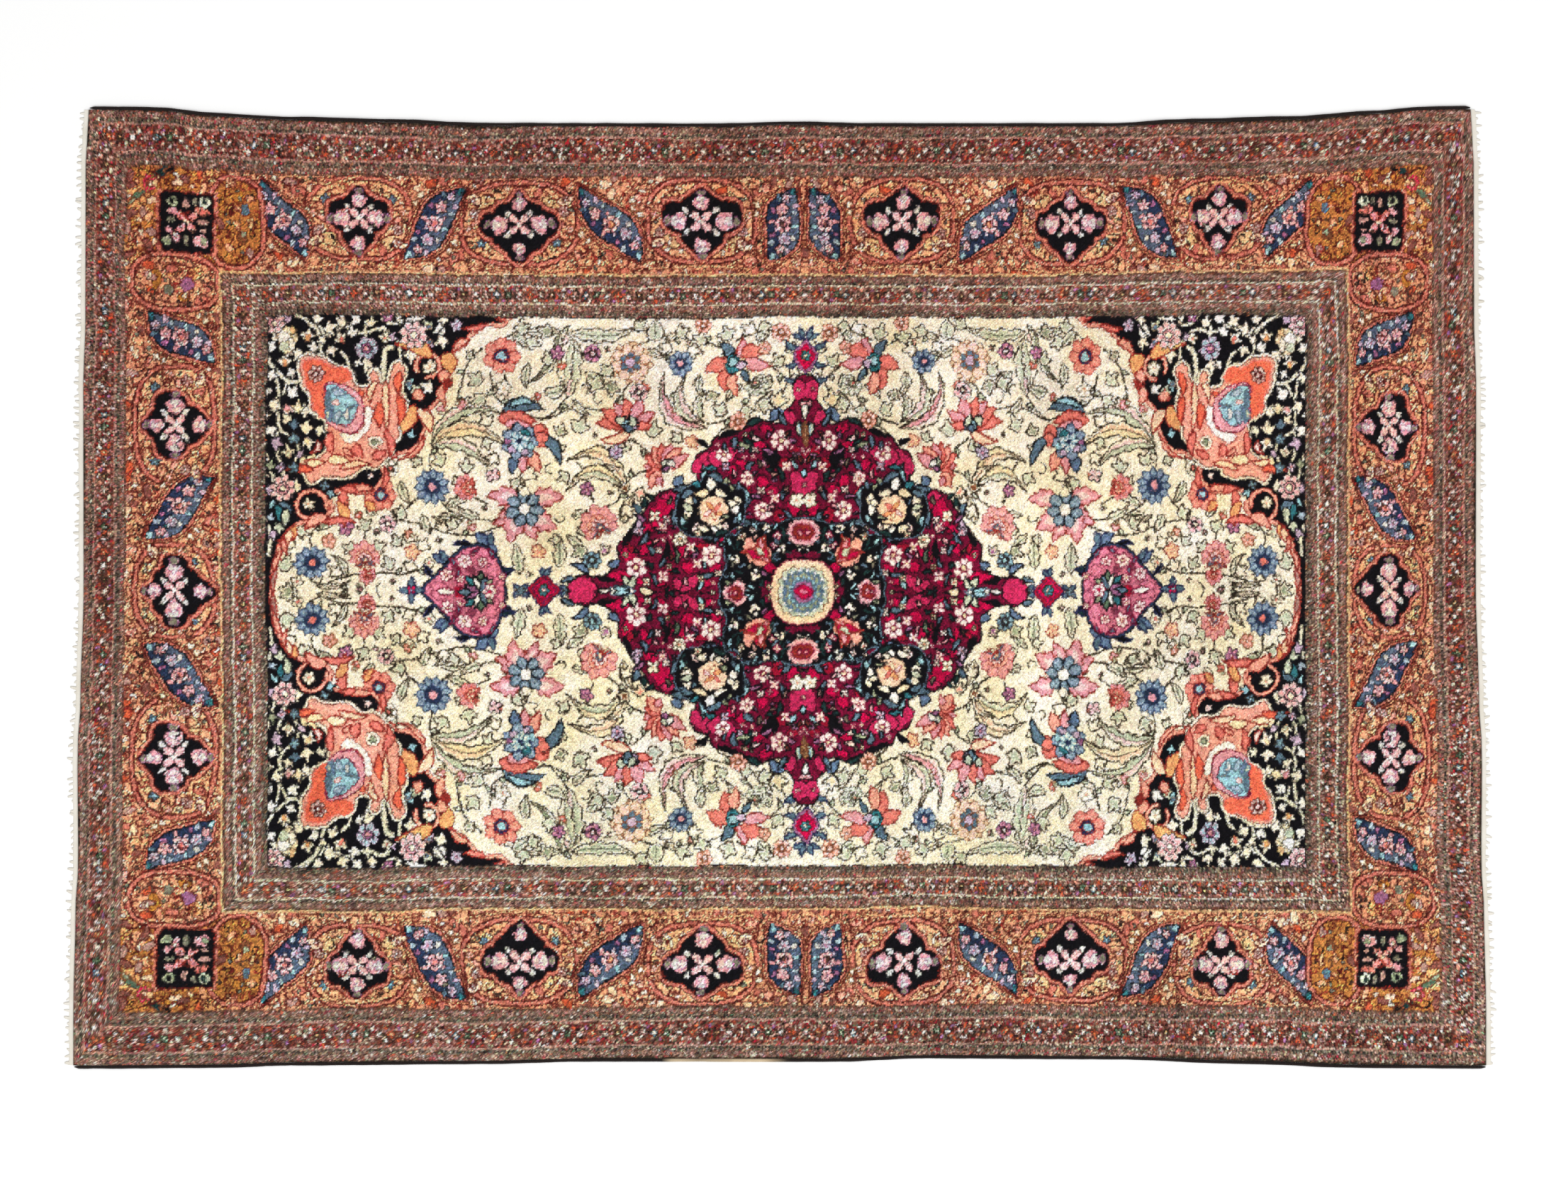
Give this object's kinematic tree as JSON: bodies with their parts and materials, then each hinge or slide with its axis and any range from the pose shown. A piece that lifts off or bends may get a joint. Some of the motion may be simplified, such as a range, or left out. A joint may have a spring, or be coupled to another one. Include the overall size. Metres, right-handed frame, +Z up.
{
  "type": "persian rug",
  "caption": "Hand-knotted oriental floor rug lying flat, with a medallion field, wide borders, overcast sides and worn warp ends.",
  "frame": {"origin": "on the floor, under the middle of the rug's outline", "axes": "+X along the warps, from the left worn end to the right one; +Y across, to the far side; +Z up through the pile"},
  "size_m": [2.0854, 1.3997, 0.006],
  "materials": {
    "knotted_wool": "worn wool pile, matt, knotted in many colours",
    "overcast_wool": "dark wool overcasting, matt",
    "cotton_warp": "undyed cotton, matt"
  },
  "bodies": {
    "root": {"pile": "knotted_wool", "side_cord_far": "overcast_wool", "side_cord_near": "overcast_wool", "warp_end_left": "cotton_warp", "warp_end_right": "cotton_warp"}
  },
  "joints": []
}
